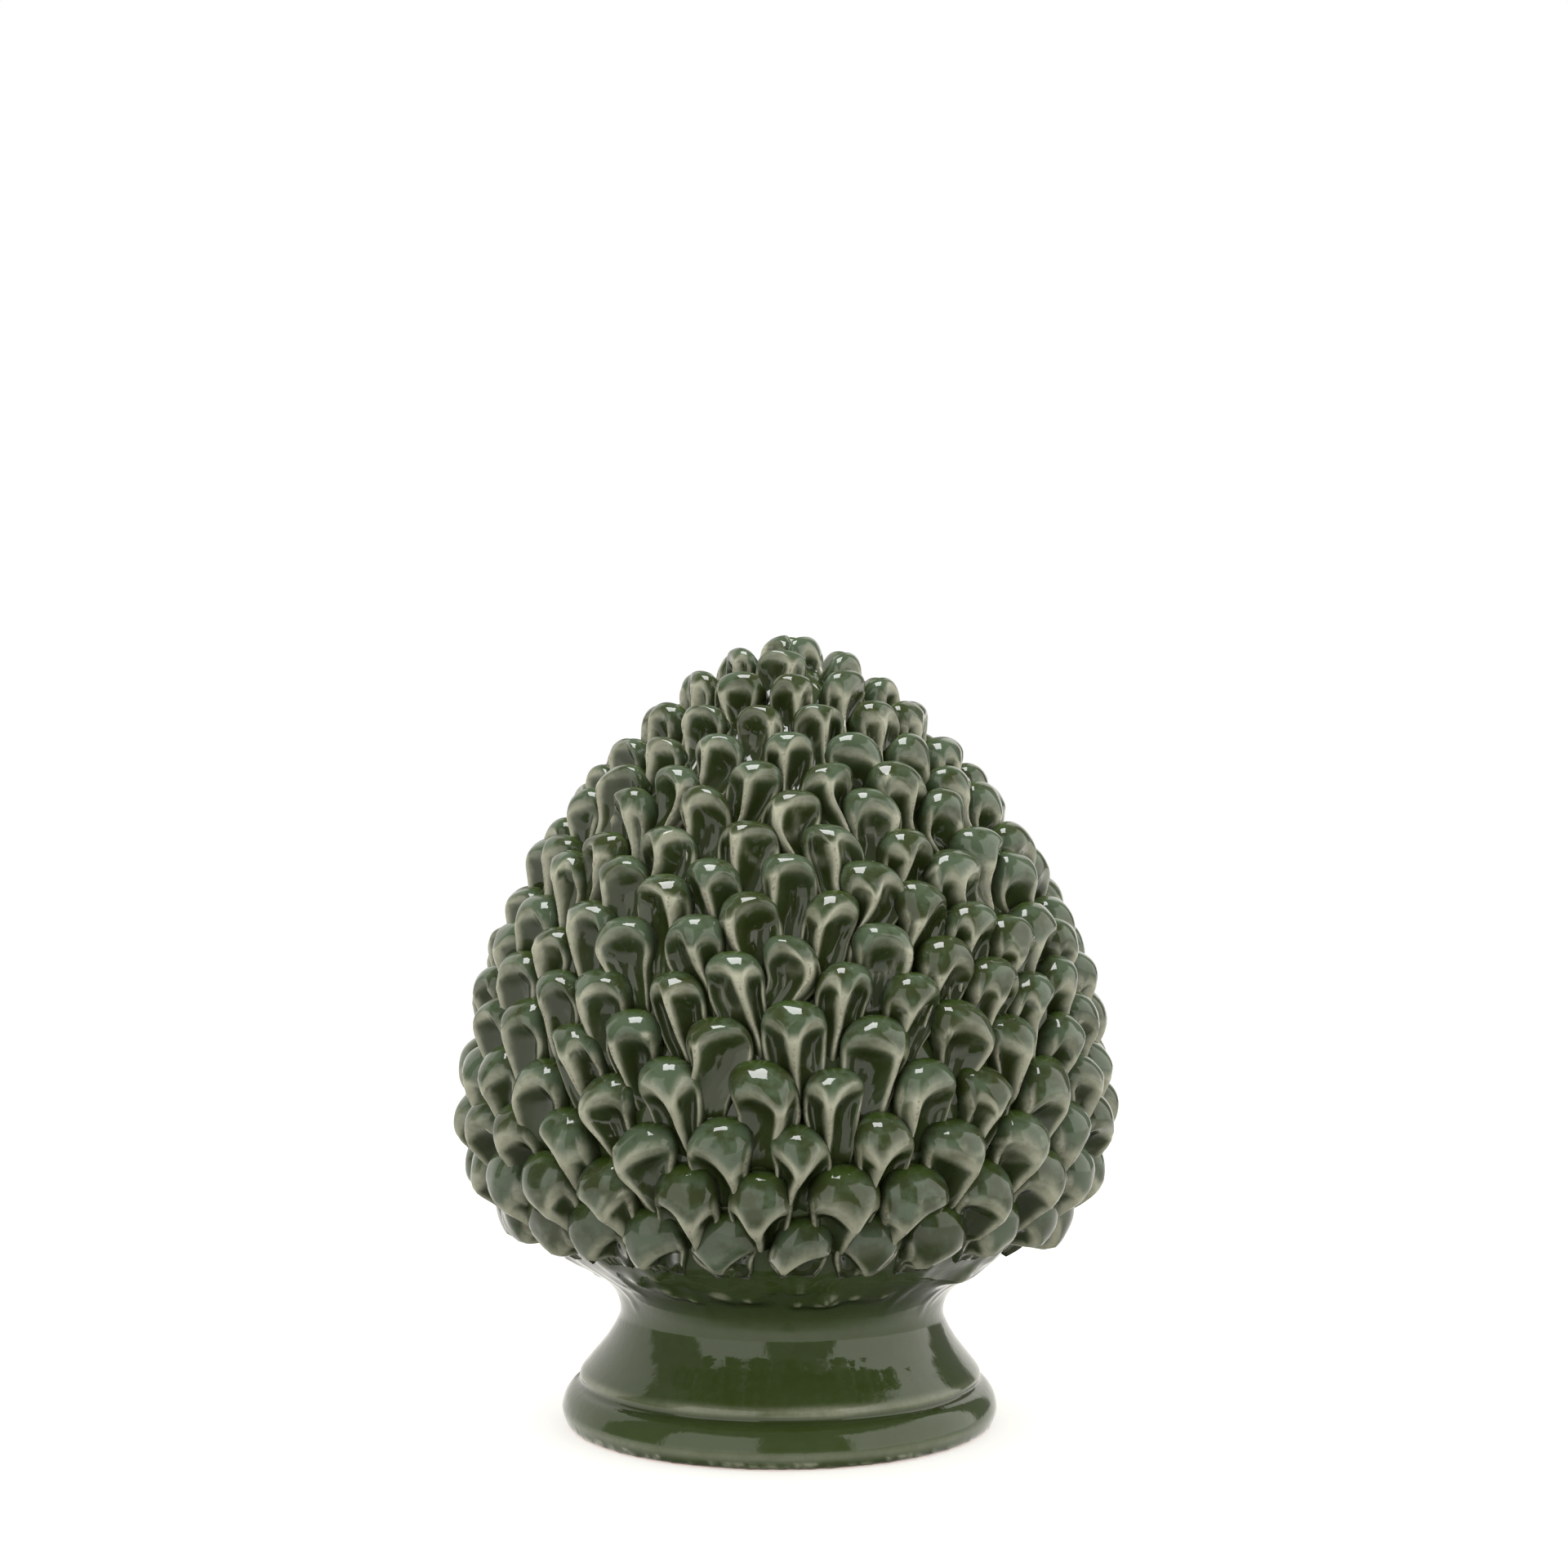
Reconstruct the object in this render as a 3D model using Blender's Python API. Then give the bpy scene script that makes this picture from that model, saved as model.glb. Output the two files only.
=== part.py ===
"""Pinecone finial: glazed pottery, thrown hollow, open underneath, its scales pressed on by hand.

One fired piece. Lengths are in metres, +Z is up, the front looks along -Y, and the table is at z = 0.
"""

import math
import random

import bmesh
import bpy
import numpy as np
from mathutils import Vector
from mathutils.geometry import delaunay_2d_cdt, intersect_line_line_2d, intersect_point_tri_2d

NODE_NAME = "pinecone_finial"

# Turned shapes, as (radius, height). The cone runs from its apex down to the seam above the neck.
CONE_PROFILE = (
    (0.0000, 0.2917), (0.0125, 0.2850), (0.0280, 0.2740), (0.0445, 0.2590),
    (0.0615, 0.2410), (0.0780, 0.2200), (0.0920, 0.1950), (0.1030, 0.1680),
    (0.1095, 0.1400), (0.1110, 0.1150), (0.1055, 0.0940), (0.0945, 0.0760), (0.0820, 0.0640),
)
# The pedestal runs from the seam through the waist, a bead and a groove to the rounded foot.
PEDESTAL_PROFILE = (
    (0.0745, 0.0595), (0.0682, 0.0545), (0.0630, 0.0480), (0.0617, 0.0420), (0.0645, 0.0345),
    (0.0700, 0.0270), (0.0752, 0.0208), (0.0764, 0.0188), (0.0760, 0.0168), (0.0792, 0.0143),
    (0.0820, 0.0105), (0.0830, 0.0065), (0.0822, 0.0025), (0.0798, 0.0000),
)
# The hollow runs from the inner edge of the foot ring up to its crown, a wall's thickness inside.
HOLLOW_PROFILE = (
    (0.0680, 0.0000), (0.0640, 0.0120), (0.0560, 0.0300), (0.0527, 0.0420), (0.0545, 0.0510),
    (0.0700, 0.0640), (0.0900, 0.0800), (0.0990, 0.1100), (0.0980, 0.1450), (0.0840, 0.1900),
    (0.0570, 0.2330), (0.0280, 0.2580),
)
HOLLOW_TOP = 0.2680
FOOT_OFFSET = -0.0028      # the foot stands this far off the cone's axis, as thrown by hand
OFFSET_HEIGHT = 0.110      # the offset has died away at this height

# Scales: height of each ring's heads, heads in the ring, and the angle of one head in degrees,
# counted from the front towards +X.
SCALE_RINGS = (
    (0.0800, 26, 3.3), (0.1000, 26, -3.6), (0.1205, 25, 3.4), (0.1385, 25, -4.6),
    (0.1560, 24, 1.0), (0.1720, 24, -8.0), (0.1845, 21, 0.0), (0.1960, 20, 9.6),
    (0.2080, 18, 1.0), (0.2195, 17, -10.6), (0.2330, 15, 0.4), (0.2450, 15, -11.0),
    (0.2560, 15, 0.0), (0.2680, 13, -12.0), (0.2790, 10, 6.0), (0.2885, 6, -2.0), (0.2985, 3, -62.0),
)
# Heads are a thumb wide low down and smaller towards the crown: (height, half width).
HEAD_WIDTHS = ((0.080, 0.0118), (0.140, 0.0112), (0.185, 0.0098), (0.245, 0.0092), (0.298, 0.0078))
HEAD_SLENDER = 0.96        # half height over half width
SCALE_LIFT = 0.0145        # how far a head stands off the cone
CROWN_LIFT = 0.0110        # and near the apex
HEAD_SPACING = 1.13        # least distance between two heads, over the sum of their half widths
SETTLING_ROUNDS = 40
SETTLING_STEP = 0.25
HAND_SEED = 7              # the potter's small irregularities
ANGLE_WANDER = 0.07        # of a ring's pitch
HEIGHT_WANDER = 0.0012
LIFT_WANDER = 0.06
KEEL_WANDER = 0.35         # of the half width

# One scale as it is pinched: across and up in half widths and half heights from the head's middle,
# and lift off the cone as a share of the head's. The rim stands up, the lower edge of the head is a
# V, a keel runs down from it between two thumbed hollows, and the skirt lies on the cone.
SCALE_POINTS = {
    "rim_left": (-0.92, -0.10, 0.64),
    "rim_upper_left": (-0.62, 0.62, 0.70),
    "rim_top": (0.00, 0.84, 0.70),
    "rim_upper_right": (0.62, 0.62, 0.70),
    "rim_right": (0.92, -0.10, 0.64),
    "dome": (0.00, 0.15, 1.00),
    "vee": (0.00, -0.85, 0.94),
    "keel": (0.00, -1.65, 0.30),
    "hollow_left": (-0.55, -1.05, 0.20),
    "hollow_right": (0.55, -1.05, 0.20),
    "skirt_left": (-1.02, -0.15, 0.00),
    "skirt_upper_left": (-0.66, 0.96, 0.00),
    "skirt_upper_right": (0.66, 0.96, 0.00),
    "skirt_right": (1.02, -0.15, 0.00),
}
KEEL_POINTS = ("vee", "keel")
SCALE_FOLDS = (
    ("rim_left", "rim_upper_left"), ("rim_upper_left", "rim_top"), ("rim_top", "rim_upper_right"),
    ("rim_upper_right", "rim_right"), ("rim_left", "vee"), ("vee", "rim_right"), ("vee", "keel"),
    ("skirt_left", "skirt_upper_left"), ("skirt_upper_left", "skirt_upper_right"),
    ("skirt_upper_right", "skirt_right"),
)
FOOTPRINT = ("skirt_left", "vee", "skirt_right", "skirt_upper_right", "skirt_upper_left")

OUTER_SIDES = 48           # sides of the turned outside; the hollow has half as many
PROFILE_STEPS = 24         # samples between two points of the cone's profile
APEX_GAP = 0.0004          # the unrolled cone starts this far from the apex
REACH = 0.060              # scales further apart than this can't meet
SHARP_ANGLE = math.radians(50.0)

GLAZE_COLOUR = (0.050, 0.075, 0.032, 1.0)
GLAZE_ROUGHNESS = 0.08


def smooth_curve(points, steps):
    """A Catmull-Rom curve through the points, as an array of (radius, height)."""
    ends = [2 * np.array(points[0]) - points[1], 2 * np.array(points[-1]) - points[-2]]
    knots = [ends[0], *map(np.array, points), ends[1]]
    curve = []
    for before, start, end, after in zip(knots, knots[1:], knots[2:], knots[3:]):
        for t in np.linspace(0.0, 1.0, steps, endpoint=False):
            bend = 2 * start + (end - before) * t
            bend = bend + (2 * before - 5 * start + 4 * end - after) * t**2
            curve.append((bend + (3 * start - before - 3 * end + after) * t**3) / 2)
    curve.append(knots[-2])
    return np.array(curve)


class Cone:
    """The cone's outside, and its map to a flat disc that keeps small shapes true."""

    def __init__(self):
        curve = smooth_curve(CONE_PROFILE, PROFILE_STEPS)
        curve[:, 0] = np.maximum(curve[:, 0], 0.0)
        steps = np.linalg.norm(np.diff(curve, axis=0), axis=1)
        self.along = np.concatenate([[0.0], np.cumsum(steps)])
        self.radius, self.height = curve.T
        slope = np.gradient(curve, self.along, axis=0)
        slope /= np.linalg.norm(slope, axis=1)[:, None]
        slope[0] = (1.0, 0.0)
        self.out, self.rise = -slope[:, 1], slope[:, 0]
        fine = np.maximum(self.radius, APEX_GAP)
        spread = np.diff(self.along) * (1 / fine[1:] + 1 / fine[:-1]) / 2
        self.spread = np.concatenate([[0.0], np.cumsum(spread)]) - spread.sum()
        self.length = self.along[-1]

    def read(self, values, along):
        return float(np.interp(along, self.along, values))

    def unroll(self, along, angle):
        """A place on the cone, on the flat disc."""
        reach = math.exp(self.read(self.spread, along))
        return Vector((reach * math.sin(angle), -reach * math.cos(angle)))

    def roll(self, spot):
        """A place on the flat disc, back on the cone as (along, angle)."""
        spread = math.log(max(spot.length, 1e-9))
        return float(np.interp(spread, self.spread, self.along)), math.atan2(spot.x, -spot.y)

    def shrink(self, along):
        """How much smaller a small shape is on the disc than on the cone."""
        reach = math.exp(self.read(self.spread, along))
        return reach / max(self.read(self.radius, along), APEX_GAP)

    def point(self, along, angle, lift=0.0):
        """A point in space, lifted off the cone along its normal."""
        radius = self.read(self.radius, along) + lift * self.read(self.out, along)
        height = self.read(self.height, along) + lift * self.read(self.rise, along)
        return turned(radius, angle, height)

    def along_at(self, height, lift):
        """How far from the apex a head lies whose middle shows at this height."""
        shown = self.height + lift * self.rise
        return float(np.interp(-height, -shown, self.along))


def turned(radius, angle, height):
    """A point of a turned shape. Low down it is a little off the cone's axis."""
    fade = max(0.0, 1.0 - height / OFFSET_HEIGHT)
    offset = FOOT_OFFSET * fade * fade * (3.0 - 2.0 * fade)
    return Vector((radius * math.sin(angle) + offset, -radius * math.cos(angle), height))


def settle(cone, along, angle, lift, width):
    """Moves heads that crowd each other apart, as a hand sets each beside those before it."""
    for _ in range(SETTLING_ROUNDS):
        radius = np.interp(along, cone.along, cone.radius) + lift * np.interp(along, cone.along, cone.out)
        height = np.interp(along, cone.along, cone.height) + lift * np.interp(along, cone.along, cone.rise)
        heads = np.stack([radius * np.sin(angle), -radius * np.cos(angle), height], axis=1)
        apart = heads[:, None] - heads[None]
        distance = np.linalg.norm(apart, axis=2) + np.eye(len(heads))
        short = np.maximum(HEAD_SPACING * (width[:, None] + width[None]) - distance, 0.0)
        np.fill_diagonal(short, 0.0)
        push = SETTLING_STEP * (apart * (short / distance)[:, :, None]).sum(axis=1)
        round_it = np.stack([np.cos(angle), np.sin(angle), np.zeros(len(angle))], axis=1)
        out = np.interp(along, cone.along, cone.out)
        rise = np.interp(along, cone.along, cone.rise)
        down = np.stack([rise * np.sin(angle), -rise * np.cos(angle), -out], axis=1)
        angle = angle + (push * round_it).sum(axis=1) / np.maximum(radius, lift)
        along = along + (push * down).sum(axis=1) * (height > SCALE_RINGS[0][0] + HEIGHT_WANDER)
    return along, angle


def lay_scales(cone):
    """Each scale's place, from the lowest ring up: (along, angle, half width, half height, lift, keel)."""
    hand = random.Random(HAND_SEED)
    rows = []
    lowest, highest = SCALE_RINGS[0][0], SCALE_RINGS[-1][0]
    for height, count, phase in SCALE_RINGS:
        share = ((height - lowest) / (highest - lowest)) ** 3
        lift = SCALE_LIFT + share * (CROWN_LIFT - SCALE_LIFT)
        width = float(np.interp(height, *zip(*HEAD_WIDTHS)))
        for number in range(count):
            turn = (number + hand.uniform(-1, 1) * ANGLE_WANDER) * 2 * math.pi / count
            along = cone.along_at(height + hand.uniform(-1, 1) * HEIGHT_WANDER, lift)
            rise = lift * (1 + hand.uniform(-1, 1) * LIFT_WANDER)
            keel = hand.uniform(-1, 1) * KEEL_WANDER
            rows.append((along, math.radians(phase) + turn, width, rise, keel))
    along, angle, width, lift, keel = np.array(rows).T
    along, angle = settle(cone, along, angle, lift, width)
    return [
        tuple(map(float, row)) for row in zip(along, angle, width, width * HEAD_SLENDER, lift, keel)
    ]


def scale_on_disc(cone, scale):
    """The scale's points on the disc, by name, each with its lift."""
    along, angle, width, tall, lift, keel = scale
    middle = cone.unroll(along, angle)
    small = cone.shrink(along)
    up = -middle.normalized()
    across = Vector((-up.y, up.x)) * -1.0
    placed = {}
    for name, (side, rise, stand) in SCALE_POINTS.items():
        shift = keel if name in KEEL_POINTS else 0.0
        spot = middle + across * ((side + shift) * width * small) + up * (rise * tall * small)
        placed[name] = (spot, stand * lift)
    return placed


def inside(spot, outline):
    """Whether a spot lies inside a convex outline."""
    first = outline[0]
    return any(
        intersect_point_tri_2d(spot, first, one, two) for one, two in zip(outline[1:], outline[2:])
    )


def cover_disc(cone):
    """All the scales on the disc: spots, lifts, and the folds that the faces have to follow.

    The rings go on from the lowest up, and what a lower head hides of a stem isn't made.
    """
    spots, lifts, folds = [], [], []
    owners = []
    for scale in lay_scales(cone):
        placed = scale_on_disc(cone, scale)
        here = cone.point(scale[0], scale[1])
        near = [owner for owner in owners if (owner["here"] - here).length < REACH]
        kept = {}
        for name, (spot, lift) in placed.items():
            if not any(inside(spot, owner["outline"]) for owner in near):
                kept[name] = len(spots)
                spots.append(spot)
                lifts.append(lift)
        mine = []
        for start, end in SCALE_FOLDS:
            if start not in kept or end not in kept:
                continue
            line = (placed[start][0], placed[end][0])
            crossed = any(
                intersect_line_line_2d(*line, *other) for owner in near for other in owner["lines"]
            )
            if not crossed:
                mine.append(line)
                folds.append((kept[start], kept[end]))
        outline = [placed[name][0] for name in FOOTPRINT]
        owners.append({"here": here, "outline": outline, "lines": mine})
    return spots, lifts, folds


def add_cone(mesh, cone):
    """The cone with its scales. Returns the ring of vertices at its lower edge."""
    spots, lifts, folds = cover_disc(cone)
    first = len(spots)
    for side in range(OUTER_SIDES):
        spots.append(cone.unroll(cone.length, 2 * math.pi * side / OUTER_SIDES))
        lifts.append(0.0)
        folds.append((first + side, first + (side + 1) % OUTER_SIDES))
    found, _, triangles, origins, _, _ = delaunay_2d_cdt(spots, folds, [], 0, 1e-7)
    verts = []
    for spot, origin in zip(found, origins):
        if not origin:
            raise ValueError("two folds cross on the disc")
        along, angle = cone.roll(spots[origin[0]])
        verts.append(mesh.verts.new(cone.point(along, angle, lifts[origin[0]])))
    for corners in triangles:
        mesh.faces.new([verts[corner] for corner in corners])
    edge = {origin[0]: vert for vert, origin in zip(verts, origins)}
    return [edge[first + side] for side in range(OUTER_SIDES)]


def add_rings(mesh, ring, profile):
    """Carries a ring of vertices along a turned profile, and returns the last ring."""
    sides = len(ring)
    for radius, height in profile:
        lower = [
            mesh.verts.new(turned(radius, 2 * math.pi * side / sides, height)) for side in range(sides)
        ]
        for side in range(sides):
            after = (side + 1) % sides
            mesh.faces.new((ring[side], lower[side], lower[after], ring[after]))
        ring = lower
    return ring


def add_foot(mesh, outer):
    """The flat foot ring under the pedestal. Returns its inner edge, with half as many sides."""
    radius, height = HOLLOW_PROFILE[0]
    sides = len(outer) // 2
    inner = [mesh.verts.new(turned(radius, 2 * math.pi * side / sides, height)) for side in range(sides)]
    for side in range(sides):
        start, middle, end = (outer[(2 * side + step) % len(outer)] for step in range(3))
        after = inner[(side + 1) % sides]
        mesh.faces.new((start, inner[side], middle))
        mesh.faces.new((middle, inner[side], after))
        mesh.faces.new((middle, after, end))
    return inner


def add_hollow(mesh, ring):
    """The hollow inside, closed at its top."""
    last = add_rings(mesh, ring, HOLLOW_PROFILE[1:])
    top = mesh.verts.new(turned(0.0, 0.0, HOLLOW_TOP))
    for side, vert in enumerate(last):
        mesh.faces.new((vert, top, last[(side + 1) % len(last)]))


def glaze():
    """The green glaze's plain colour and gloss."""
    material = bpy.data.materials.new("green_glaze")
    material.use_nodes = True
    shader = material.node_tree.nodes["Principled BSDF"]
    shader.inputs["Base Color"].default_value = GLAZE_COLOUR
    shader.inputs["Roughness"].default_value = GLAZE_ROUGHNESS
    shader.inputs["Metallic"].default_value = 0.0
    return material


def build():
    """Clears the file and makes the finial."""
    for leftover in list(bpy.data.objects):
        bpy.data.objects.remove(leftover)
    mesh = bmesh.new()
    lower_edge = add_cone(mesh, Cone())
    foot = add_rings(mesh, lower_edge, PEDESTAL_PROFILE)
    add_hollow(mesh, add_foot(mesh, foot))
    data = bpy.data.meshes.new(NODE_NAME)
    mesh.to_mesh(data)
    mesh.free()
    data.materials.append(glaze())
    data.shade_smooth()
    data.set_sharp_from_angle(angle=SHARP_ANGLE)
    bpy.context.scene.collection.objects.link(bpy.data.objects.new(NODE_NAME, data))


build()
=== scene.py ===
"""Pinecone finial: the glazed surface of every scale and of the pedestal, and the studio round it.

Lengths are in metres, +Z is up, and the front looks along -Y. Each scale sits where the solid's does.
"""

import math
import random

import bpy
import numpy as np
from bpy.props import FloatProperty, FloatVectorProperty, IntProperty, PointerProperty
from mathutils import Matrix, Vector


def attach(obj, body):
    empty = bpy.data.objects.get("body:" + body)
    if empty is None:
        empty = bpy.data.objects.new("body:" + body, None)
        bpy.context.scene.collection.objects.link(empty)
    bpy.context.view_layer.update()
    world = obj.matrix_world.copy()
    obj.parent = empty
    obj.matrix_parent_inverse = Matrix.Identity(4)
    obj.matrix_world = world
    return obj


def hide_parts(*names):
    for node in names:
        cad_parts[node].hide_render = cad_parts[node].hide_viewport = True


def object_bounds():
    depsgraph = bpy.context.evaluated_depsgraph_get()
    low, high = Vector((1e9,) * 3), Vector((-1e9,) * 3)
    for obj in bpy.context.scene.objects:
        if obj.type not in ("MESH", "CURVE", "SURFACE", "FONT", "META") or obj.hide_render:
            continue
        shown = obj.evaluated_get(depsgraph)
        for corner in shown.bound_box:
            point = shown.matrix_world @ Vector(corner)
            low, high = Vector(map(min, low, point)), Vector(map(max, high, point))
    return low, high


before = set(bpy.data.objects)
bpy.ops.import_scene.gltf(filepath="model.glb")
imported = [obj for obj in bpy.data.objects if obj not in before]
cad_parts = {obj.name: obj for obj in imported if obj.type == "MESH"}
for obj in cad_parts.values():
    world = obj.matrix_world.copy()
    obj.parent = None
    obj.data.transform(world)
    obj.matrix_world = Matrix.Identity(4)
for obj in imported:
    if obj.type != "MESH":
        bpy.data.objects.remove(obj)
CAD_BOX = [list(corner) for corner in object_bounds()]

bl_info = {
    "name": "Pinecone Finial",
    "version": (1, 0, 0),
    "blender": (4, 5, 0),
    "location": "3D View > Sidebar > Finial",
    "description": "A hand made glazed pottery pinecone on its thrown pedestal",
    "category": "Object",
}

NODE = "pinecone_finial"
BODY = "root"
MM = 0.001
TURN = 2 * math.pi

# Turned shapes, as (radius, height). The cone runs from its apex down to the seam above the neck.
CONE_PROFILE = (
    (0.0000, 0.2917), (0.0125, 0.2850), (0.0280, 0.2740), (0.0445, 0.2590),
    (0.0615, 0.2410), (0.0780, 0.2200), (0.0920, 0.1950), (0.1030, 0.1680),
    (0.1095, 0.1400), (0.1110, 0.1150), (0.1055, 0.0940), (0.0945, 0.0760), (0.0820, 0.0640),
)
# The pedestal runs from the seam through the waist, a roll and a groove to the rounded foot.
PEDESTAL_PROFILE = (
    (0.0820, 0.0640), (0.0745, 0.0592), (0.0684, 0.0548), (0.0638, 0.0495), (0.0618, 0.0430),
    (0.0630, 0.0380), (0.0669, 0.0312), (0.0722, 0.0245), (0.0752, 0.0208), (0.0764, 0.0188),
    (0.0763, 0.0174), (0.0759, 0.0165), (0.0770, 0.0155), (0.0792, 0.0143), (0.0814, 0.0115),
    (0.0828, 0.0076), (0.0828, 0.0045), (0.0818, 0.0018), (0.0802, 0.0004), (0.0785, 0.0000),
)
# The hollow runs from the inner edge of the foot ring up to its crown.
HOLLOW_PROFILE = (
    (0.0680, 0.0000), (0.0640, 0.0120), (0.0560, 0.0300), (0.0527, 0.0420), (0.0545, 0.0510),
    (0.0700, 0.0640), (0.0900, 0.0800), (0.0990, 0.1100), (0.0980, 0.1450), (0.0840, 0.1900),
    (0.0570, 0.2330), (0.0280, 0.2580), (0.0000, 0.2680),
)
FOOT_OFFSET = -0.0028      # the foot stands this far off the cone's axis, as thrown by hand
OFFSET_HEIGHT = 0.110      # the offset has died away at this height

# Scales: height of each ring's heads, heads in the ring, and the angle of one head in degrees,
# counted from the front towards +X.
SCALE_RINGS = (
    (0.0800, 26, 3.3), (0.1000, 26, -3.6), (0.1205, 25, 3.4), (0.1385, 25, -4.6),
    (0.1560, 24, 1.0), (0.1720, 24, -8.0), (0.1845, 21, 0.0), (0.1960, 20, 9.6),
    (0.2080, 18, 1.0), (0.2195, 17, -10.6), (0.2330, 15, 0.4), (0.2450, 15, -11.0),
    (0.2560, 15, 0.0), (0.2680, 13, -12.0), (0.2790, 10, 6.0), (0.2885, 6, -2.0), (0.2985, 3, -62.0),
)
RINGS_IN_BANDS = (2, 2, 2, 2, 2, 2, 2, 3)      # neighbouring rings share a piece
# Heads are a thumb wide low down and smaller towards the crown: (height, half width).
HEAD_WIDTHS = ((0.080, 0.0118), (0.140, 0.0112), (0.185, 0.0098), (0.245, 0.0092), (0.298, 0.0078))
HEAD_SLENDER = 0.96        # half height over half width
# Drawn full, heads are this much wider than the solid's: (height, times).
HEAD_SWELL = ((0.080, 1.01), (0.125, 0.97), (0.160, 1.03), (0.200, 1.14), (0.260, 1.08), (0.298, 1.00))
SCALE_LIFT = 0.0145        # how far a head stands off the cone
CROWN_LIFT = 0.0110        # and near the apex
HEAD_SPACING = 1.13        # least distance between two heads, over the sum of their half widths
SETTLING_ROUNDS = 40
SETTLING_STEP = 0.25
HAND_SEED = 7              # the potter's small irregularities
ANGLE_WANDER = 0.07        # of a ring's pitch
HEIGHT_WANDER = 0.0012
LIFT_WANDER = 0.06
KEEL_WANDER = 0.35         # of the half width

PROFILE_STEPS = 24         # samples between two points of the cone's profile
APEX_GAP = 0.0004          # the unrolled cone starts this far from the apex
RIM = 0.88                 # a hollow ends at this share of the half width
# A scale is tipped upright by this share of how far the cone under it faces up past a level.
UPRIGHT = 0.75
FACING_LEVEL = math.radians(14.0)
MOST_TILT = math.radians(32.0)
CROWN_SINK = 0.56          # the topmost heads stand off this share of the others' lift
DEEPER = 0.42              # a head's face runs this much further down on the right, in half widths
EDGE_WAVE = 2.6 * MM       # the scale of the waves in a scale's edge
STREAK = 3.4 * MM          # from one streak in a hollow to the next
FINGER_WAVE = 2.3 * MM     # the scale of the waves that fingers leave

# The mesh of one scale: rows up the stem to the head's lower edge, and over the head.
STEM_ROWS = 15
HEAD_ROWS = 15
FACE_COLUMNS = 29
# Columns down a scale's side: how far in by the head, how far out by the stem, share of the edge.
SIDE_STEPS = ((0.005, 0.03, 0.62), (0.035, 0.14, 0.28), (0.09, 0.38, 0.0))
ROOT_DEPTH = 0.0020        # a scale reaches this far into the cone
GAP_SHIFTS = np.linspace(-0.65, 0.65, 14)       # tried sideways for a stem, in half widths
STEM_LOOK = 2.0            # how far below its head a stem looks for its gap, in half widths
AMPLE_ROOM = 9.0           # the room a stem has where no lower head stands

# On the map for baking: the face's share of a scale's cell, the gap round it, and the fans' share.
MAP_FACE, MAP_MARGIN, MAP_FAN, BODY_MAP_FAN = 0.80, 0.02, 0.06, 0.02

# The glaze: sizes of its clouds, of its specks of clay and of the ripple in its surface.
CLOUD, FINE_CLOUD, WIDE_CLOUD, DOTS, GRAIN, RIPPLE = 0.0075, 0.0018, 0.0110, 0.00125, 0.0011, 0.0042
POOLING_AND_SHADE_REACH = 0.014      # the glaze pools, and painted shade darkens the crevices, where other clay stands this near
RIPPLE_DEPTH = 0.00035
GLAZE_IOR = 1.52

# The turned body: its vertices round, and what lies on it at which height.
BODY_SIDES = 320
BLOBS, BLOB_HEIGHTS = 90, (0.0575, 0.0705)      # of slip, on the neck
DRIPS, DRIP_ENDS = 22, (0.047, 0.060)           # of slip, down towards the waist
CRUMBS, CRUMB_HEIGHTS = 70, (0.0004, 0.0026)    # at the foot's rim, most of them in front
BLOB_RADIUS, DRIP_RADIUS, CRUMB_RADIUS = 0.078, 0.066, 0.080
NECK_HEIGHT, ROLL_HEIGHT, GROOVE_HEIGHT, RIM_HEIGHT = 0.056, 0.0193, 0.0163, 0.0052

# The studio, in metres, and in degrees of azimuth from the front towards +X or over the horizon.
OVERHEAD_HEIGHT = 1.0      # the soft box hangs this far above the finial
OVERHEAD_GAP = 0.05        # and the one that only gloss sees, this far below it
OVERHEAD_PLACE = (-0.10, -0.12)
OVERHEAD_SIZE, GLINT_SIZE = (0.63, 0.72), (0.52, 0.62)
FLOOR_RADIUS, FLOOR_SIDES = 6.0, 96
FLOOR_FADE = (0.35, 2.2)   # the floor turns into the white backdrop between these distances
LEFT_PANELS = ((-64.0, -11.0), (-168.0, -106.0))      # one in front and one behind
RIGHT_PANELS = ((38.0, 124.0), (148.0, 172.0))
PANEL_FOOT, PANEL_TOP, PANEL_EDGE = (-6.0, -2.0), (43.0, 51.0), 3.0
TABLE_EDGE, TABLE_DARKER = (-5.0, 0.0), (-62.0, -28.0)      # seen steeply, the table is darker
CAMERA_ASIDE = -0.001
WHITE, BLACK = (1.0, 1.0, 1.0, 1.0), (0.0, 0.0, 0.0, 1.0)


def smooth_curve(points, steps):
    """A Catmull-Rom curve through the points, as an array of (radius, height)."""
    ends = [2 * np.array(points[0]) - points[1], 2 * np.array(points[-1]) - points[-2]]
    knots = [ends[0], *map(np.array, points), ends[1]]
    curve = []
    for before, start, end, after in zip(knots, knots[1:], knots[2:], knots[3:]):
        for t in np.linspace(0.0, 1.0, steps, endpoint=False):
            bend = 2 * start + (end - before) * t
            bend = bend + (2 * before - 5 * start + 4 * end - after) * t**2
            curve.append((bend + (3 * start - before - 3 * end + after) * t**3) / 2)
    curve.append(knots[-2])
    return np.array(curve)


def distances(curve):
    """How far along a curve each of its points lies."""
    return np.concatenate([[0.0], np.cumsum(np.linalg.norm(np.diff(curve, axis=0), axis=1))])


def smoothstep(low, high, value):
    """0 below low, 1 above high, and a smooth rise between."""
    share = np.clip((value - low) / (high - low), 0.0, 1.0)
    return share * share * (3.0 - 2.0 * share)


def blend(start, end, share):
    return start + (end - start) * share


def bell(distance, width):
    """1 at no distance, falling off over about the width."""
    return np.exp(-((distance / width) ** 2))


def foot_offset(height):
    """How far off the cone's axis a turned shape stands at a height."""
    fade = np.maximum(0.0, 1.0 - height / OFFSET_HEIGHT)
    return FOOT_OFFSET * fade * fade * (3.0 - 2.0 * fade)


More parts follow.
